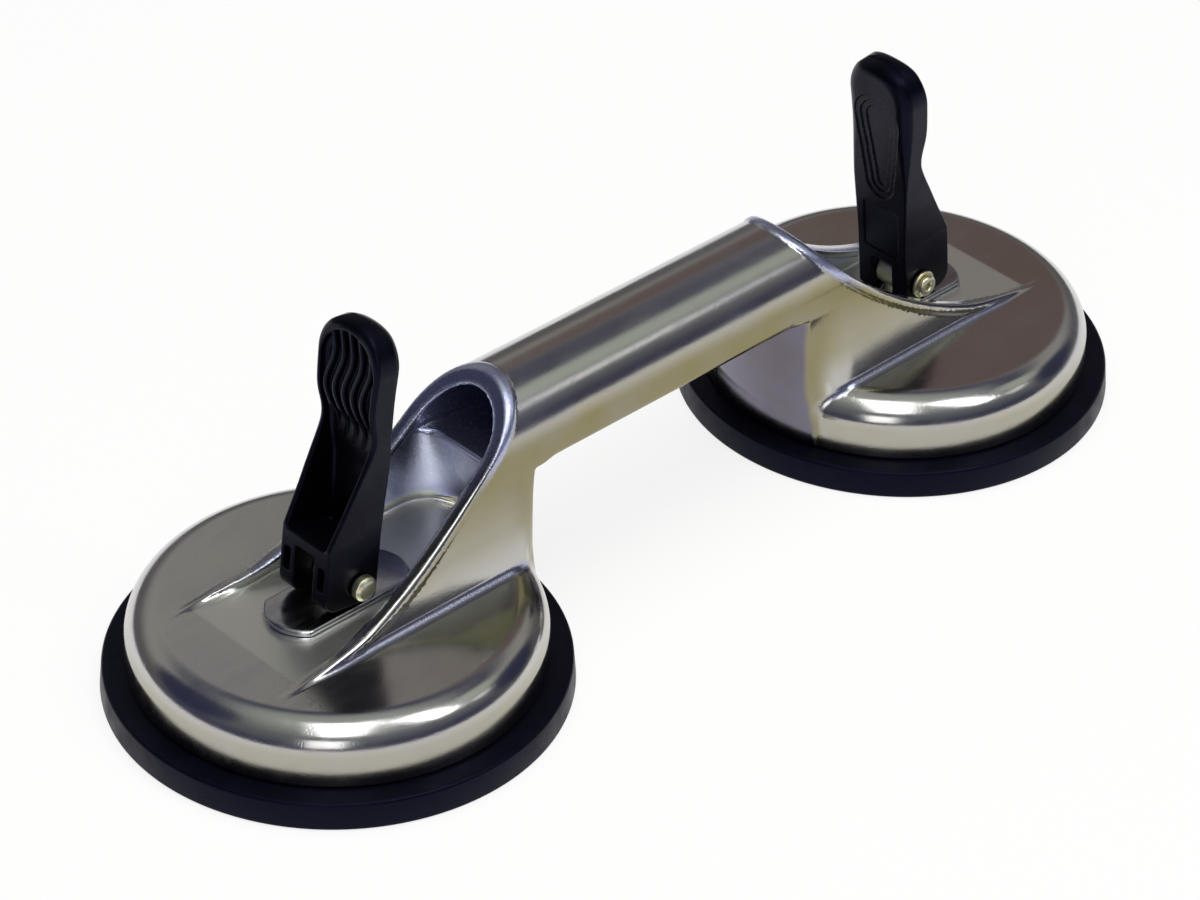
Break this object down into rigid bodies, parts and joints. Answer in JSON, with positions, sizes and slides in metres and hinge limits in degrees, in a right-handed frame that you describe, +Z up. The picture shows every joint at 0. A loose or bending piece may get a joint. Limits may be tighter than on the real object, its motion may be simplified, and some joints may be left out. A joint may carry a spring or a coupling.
{
  "type": "double suction cup lifter",
  "caption": "Two rubber suction cups on a one-piece cast aluminium carrying handle, each with a black cam lever that folds outward to pull its vacuum.",
  "frame": {"origin": "on the sealing plane, midway between the two cups", "axes": "+X along the handle from the near cup to the far cup, +Z up, away from the sheet that the cups hold"},
  "size_m": [0.322, 0.12, 0.1072],
  "materials": {
    "aluminium": "polished casting",
    "steel": "bright pressed sheet",
    "zinc": "yellow zinc plated",
    "rubber": "satin black",
    "plastic": "satin black moulding"
  },
  "bodies": {
    "frame": {"housing": "aluminium", "near_rubber_pad": "rubber", "near_saddle_plate": "steel", "far_rubber_pad": "rubber", "far_saddle_plate": "steel"},
    "near_stud": {"near_draw_stud": "zinc", "near_anchor_disc": "steel", "near_stud_locknut": "zinc"},
    "near_cam": {"near_lever": "plastic", "near_pivot_rivet": "zinc", "near_rivet_washer": "zinc"},
    "far_stud": {"far_draw_stud": "zinc", "far_anchor_disc": "steel", "far_stud_locknut": "zinc"},
    "far_cam": {"far_lever": "plastic", "far_pivot_rivet": "zinc", "far_rivet_washer": "zinc"}
  },
  "joints": [
    {"name": "near_stud_slide", "type": "slide", "parent": "frame", "child": "near_stud", "axis": [0, 0, 1], "range_m": [0, 0.0071]},
    {"name": "near_lever_hinge", "type": "hinge", "parent": "near_stud", "child": "near_cam", "pos_m": [-0.101, 0, 0.0339], "axis": [0, -1, 0], "range_deg": [0, 96]},
    {"name": "far_stud_slide", "type": "slide", "parent": "frame", "child": "far_stud", "axis": [0, 0, 1], "range_m": [0, 0.0071]},
    {"name": "far_lever_hinge", "type": "hinge", "parent": "far_stud", "child": "far_cam", "pos_m": [0.101, 0, 0.0339], "axis": [0, 1, 0], "range_deg": [0, 96]}
  ],
  "couplings": [
    {"joint": "near_stud_slide", "follows": "near_lever_hinge", "m_per_rad": 0.0042},
    {"joint": "far_stud_slide", "follows": "far_lever_hinge", "m_per_rad": 0.0042}
  ]
}
